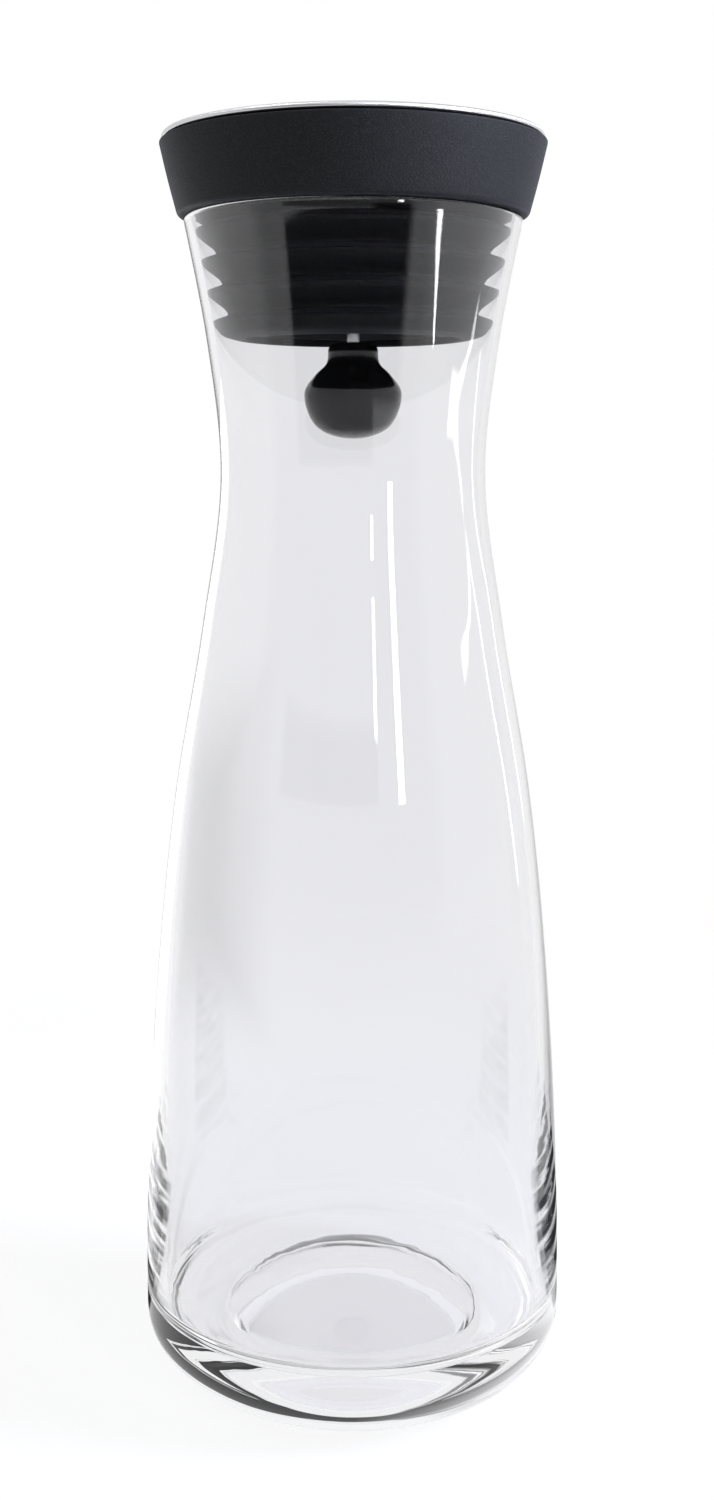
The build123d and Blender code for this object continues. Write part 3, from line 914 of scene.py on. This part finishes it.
# %% [markdown]
# The cover is brushed while it spins, so its scratches are circles round the middle. A pattern that varies
# fast with the radius and slowly round the circle gives them. The fine ones would be 0.15 mm apart, and are
# drawn at 0.3 mm so that they show. Broad ones of 2 mm vary the tone. An angle could run round the circle,
# but it jumps where it starts again, and a seam would cross the lid. The direction from the middle closes on
# itself, so the pattern follows that.

# %% Brushed stainless steel
SCRATCH_MM, SCRATCH_ARCS, SCRATCH_DEPTH_MM = 0.3, 12, 0.006    # pitch, arcs to a circle, depth
BAND_MM, BAND_ARCS = 2.0, 5

steel, steel_tree, steel_shader = new_material("spun_brushed_stainless_steel")
steel_shader.inputs["Metallic"].default_value = 1.0
steel_shader.inputs["Anisotropic"].default_value = 0.75
spin = add(steel_tree, "ShaderNodeTexCoord")
split = add(steel_tree, "ShaderNodeSeparateXYZ", {}, {"Vector": spin.outputs["Object"]})
flat = add(steel_tree, "ShaderNodeCombineXYZ", {}, {"X": split.outputs[0], "Y": split.outputs[1]})
radius = add(steel_tree, "ShaderNodeVectorMath", {"operation": "LENGTH"}, {0: flat.outputs[0]})
outward = add(steel_tree, "ShaderNodeVectorMath", {"operation": "NORMALIZE"}, {0: flat.outputs[0]})


def rings(pitch_mm, arcs):
    """Noise in circles: cells of a pitch in radius, and of a number of arcs round the circle."""
    across = add(
        steel_tree, "ShaderNodeMath", {"operation": "MULTIPLY", 1: 1 / (pitch_mm * MM)},
        {0: radius.outputs["Value"]},
    )
    upright = add(steel_tree, "ShaderNodeCombineXYZ", {}, {"Z": across.outputs[0]})
    around = add(
        steel_tree, "ShaderNodeVectorMath", {"operation": "SCALE", "Scale": arcs / (2 * math.pi)},
        {0: outward.outputs[0]},
    )
    cell = add(
        steel_tree, "ShaderNodeVectorMath", {"operation": "ADD"},
        {0: around.outputs[0], 1: upright.outputs[0]},
    )
    return add(steel_tree, "ShaderNodeTexNoise", {"Scale": 1.0, "Detail": 2.0}, {"Vector": cell.outputs[0]})


scratches, bands = rings(SCRATCH_MM, SCRATCH_ARCS), rings(BAND_MM, BAND_ARCS)
tone(steel_tree, steel_shader, bands.outputs[0], 0.3, 0.7, "#c4c5c7", "#d9d9da")
roughness_from(steel_tree, steel_shader, scratches.outputs[0], 0.22, 0.4)
bumped(steel_tree, steel_shader, scratches.outputs[0], SCRATCH_DEPTH_MM)
grain_way = add(steel_tree, "ShaderNodeTangent", {"direction_type": "RADIAL", "axis": "Z"})
steel_tree.links.new(grain_way.outputs[0], steel_shader.inputs["Tangent"])
cover.data.materials.append(steel)
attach(cover, "lid")
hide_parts("lid_cover")
print("brushed rings in mm:", SCRATCH_MM, "and", BAND_MM)

# %% [markdown]
# Under the cover a moulded base follows its crown. It has a boss in the middle, through which the rod goes,
# and a skirt near its edge. The silicone seal sits in the step outside the skirt, and its rounded lip comes
# down to the insert's seat. Both are turned like the cover, and the base's top is read off the cover's own
# crown, so that they fit.

# %% Lid base and seal
BASE_R, SHOULDER_R, SHOULDER_Z, SKIRT_Z, SKIRT_R = 38.2, 36.5, 286.8, 287.9, 34.6
WEB_Z, BOSS_R, BOSS_Z, BOSS_HOLE_R = 290.2, 5.5, 284.0, 1.7
POCKET_R, POCKET_DEPTH, POCKET_FLOOR = 5.2, 0.66, 0.7    # the rod's foot lies in a pocket of the base
COVER_GAP = 0.05                  # between the base's top and the cover's inside
TOP_CUT, HALFWAY_SAG = 0.01, 0.32    # how far the top has fallen at the pocket's edge, and halfway out
LIP_GAP, LIP_ROUND = 0.05, 0.75   # how high the lip's lowest point and its widest are above the seat
CROWN_STEPS = 400                 # fine enough to read a height off the crown at any radius

lid_crown_top = LID_Z + LID_EDGE + LID_CROWN - LID_SHEET - COVER_GAP
crown = cap(edge_r, LID_Z + LID_EDGE, LID_CROWN, CROWN_STEPS)
base_edge_z = crown[round(CROWN_STEPS * BASE_R / edge_r)][1] - LID_SHEET - COVER_GAP
base = turned("lid_base_moulding", rounded([
    (BOSS_HOLE_R, lid_crown_top - POCKET_FLOOR, 0.05), (BOSS_HOLE_R, BOSS_Z, 0.3), (BOSS_R, BOSS_Z, 0.5),
    (BOSS_R, WEB_Z, 0.8), (SKIRT_R, WEB_Z, 0.8), (SKIRT_R, SHOULDER_Z, 0.3), (SHOULDER_R, SHOULDER_Z, 0.1),
    (SHOULDER_R, SKIRT_Z, 0.1), (BASE_R, SKIRT_Z, 0.1), (BASE_R, base_edge_z, 0.3),
    (BASE_R / 2, lid_crown_top - HALFWAY_SAG, 1.0), (POCKET_R, lid_crown_top - TOP_CUT, 0.1),
    (POCKET_R, lid_crown_top - POCKET_DEPTH, 0.1),
], 0.2))
base.data.materials.append(polypropylene)
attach(base, "lid")
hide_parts("lid_base")

lip_z, lip_top = SEAT_Z + LIP_GAP, SEAT_Z + LIP_ROUND
lip = arc(((SHOULDER_R + BASE_R) / 2, lip_top), (BASE_R - SHOULDER_R) / 2, lip_top - lip_z, 0, -180, 14)
seal = turned("lid_seal_ring", [(SHOULDER_R, SKIRT_Z), (BASE_R, SKIRT_Z), *lip])
seal.data.materials.append(silicone)
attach(seal, "lid")
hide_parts("lid_seal")
print("base and seal:", len(base.data.vertices), "and", len(seal.data.vertices), "vertices")

# %% [markdown]
# ## Rod and weight
# A drawn steel rod hangs from the lid. It has a flat foot under the cover, and a nut and washer hold it.
# The weight on its lower end is a steel slug in a glossy black overmould, shaped like a pear, so that
# water runs off it. The rod could be two cylinders, but turned in one outline it has the small rounded
# edges that a lathe leaves.

# %% Rod
ROD_R, ROD_BOTTOM, ROD_FOOT_R, ROD_FOOT = 1.5, 233.0, 5.0, 0.6
rod = turned("rod_turned", rounded([
    (0.0, ROD_BOTTOM, 0), (ROD_R, ROD_BOTTOM, 0.3), (ROD_R, lid_crown_top - ROD_FOOT, 0.25),
    (ROD_FOOT_R, lid_crown_top - ROD_FOOT, 0.15), (ROD_FOOT_R, lid_crown_top, 0.15), (0.0, lid_crown_top, 0),
], 0.2), segments=64)
print("rod:", len(rod.data.vertices), "vertices")

# %% [markdown]
# Steel wire is pulled through a die, which leaves fine lines along it that make its highlight long and
# soft. A noise stretched along the rod gives them. The nut, the washer and the slug are hidden inside, keep
# the shape of the CAD model and take the same steel.

# %% Bright drawn steel
LINE_MM, LINE_LENGTH_MM, LINE_DEPTH_MM = 0.2, 20.0, 0.004

drawn, drawn_tree, drawn_shader = new_material("bright_drawn_steel")
drawn_shader.inputs["Metallic"].default_value = 1.0
lines = add(
    drawn_tree, "ShaderNodeTexNoise", {"Scale": 1.0, "Detail": 2.0},
    {"Vector": stretched(drawn_tree, LINE_MM, LINE_LENGTH_MM)},
)
tone(drawn_tree, drawn_shader, lines.outputs[0], 0.3, 0.7, "#c9cacc", "#e0e0e1")
roughness_from(drawn_tree, drawn_shader, lines.outputs[0], 0.16, 0.3)
bumped(drawn_tree, drawn_shader, lines.outputs[0], LINE_DEPTH_MM)
rod.data.materials.append(drawn)
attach(rod, "lid")
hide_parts("pendulum_rod")
for name in ("clamp_washer", "clamp_nut", "weight_core"):
    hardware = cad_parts[name]
    hardware.data.materials.clear()
    hardware.data.materials.append(drawn)
print("drawn lines in mm:", LINE_MM, "by", LINE_LENGTH_MM)

# %% [markdown]
# The pear is one smooth curve from its lowest point over the belly to the neck. Its top is rounded off and
# has a small hole, which the rod goes into. A stretched sphere would be too full at the neck, so the curve
# goes through points measured on the weight's outline.

# %% Weight
WEIGHT_TOP, WEIGHT_BOTTOM, WEIGHT_NECK_R, WEIGHT_TOP_EDGE = 246.8, 225.4, 5.7, 2.0
WEIGHT_BELLY, WEIGHT_LOWER = (11.1, 235.3), (8.4, 228.2)
WEIGHT_SHOULDER = [(8.5, 239.8), (6.0, 242.4)]
HOLE_R, HOLE_DEPTH, HOLE_BEVEL = 1.7, 1.8, 0.2

neck_z = WEIGHT_TOP - WEIGHT_TOP_EDGE
pear_lower = smooth_through([(0, WEIGHT_BOTTOM), WEIGHT_LOWER, WEIGHT_BELLY], OUT, UP, 20)[:-1]
pear_upper = smooth_through([WEIGHT_BELLY, *WEIGHT_SHOULDER, (WEIGHT_NECK_R, neck_z)], UP, UP, 14)[:-1]
pear_top = arc((WEIGHT_NECK_R - WEIGHT_TOP_EDGE, neck_z), WEIGHT_TOP_EDGE, WEIGHT_TOP_EDGE, 0, 90, 10)
pear_hole = [
    (HOLE_R + HOLE_BEVEL, WEIGHT_TOP), (HOLE_R, WEIGHT_TOP - HOLE_BEVEL),
    (HOLE_R, WEIGHT_TOP - HOLE_DEPTH), (0, WEIGHT_TOP - HOLE_DEPTH),
]
pear = pear_lower + pear_upper + pear_top + pear_hole
weight = turned("weight_overmould", pear, closed=False, segments=160)
print("weight:", len(weight.data.vertices), "vertices")

# %% [markdown]
# The overmould is ABS from a polished tool: nearly mirror-smooth, with a faint orange peel of 3 mm from the
# flow and a few dull patches where it has been handled. Without them it would mirror the room as cleanly as
# glass and look unreal.

# %% Glossy black overmould
PEEL_MM, PEEL_DEPTH_MM, PATCH_MM = 3.0, 0.01, 9.0

gloss, gloss_tree, gloss_shader = new_material("high_gloss_black_abs")
gloss_shader.inputs["IOR"].default_value = 1.54
peel = add(
    gloss_tree, "ShaderNodeTexNoise", {"Scale": 1.0, "Detail": 1.0},
    {"Vector": stretched(gloss_tree, PEEL_MM, PEEL_MM)},
)
handled = add(
    gloss_tree, "ShaderNodeTexNoise", {"Scale": 1.0, "Detail": 2.0},
    {"Vector": stretched(gloss_tree, PATCH_MM, PATCH_MM)},
)
tone(gloss_tree, gloss_shader, handled.outputs[0], 0.35, 0.75, "#060607", "#0e0e10")
roughness_from(gloss_tree, gloss_shader, handled.outputs[0], 0.08, 0.3)
bumped(gloss_tree, gloss_shader, peel.outputs[0], PEEL_DEPTH_MM)
weight.data.materials.append(gloss)
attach(weight, "lid")
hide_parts("weight_shell")
print("orange peel in mm:", PEEL_MM)
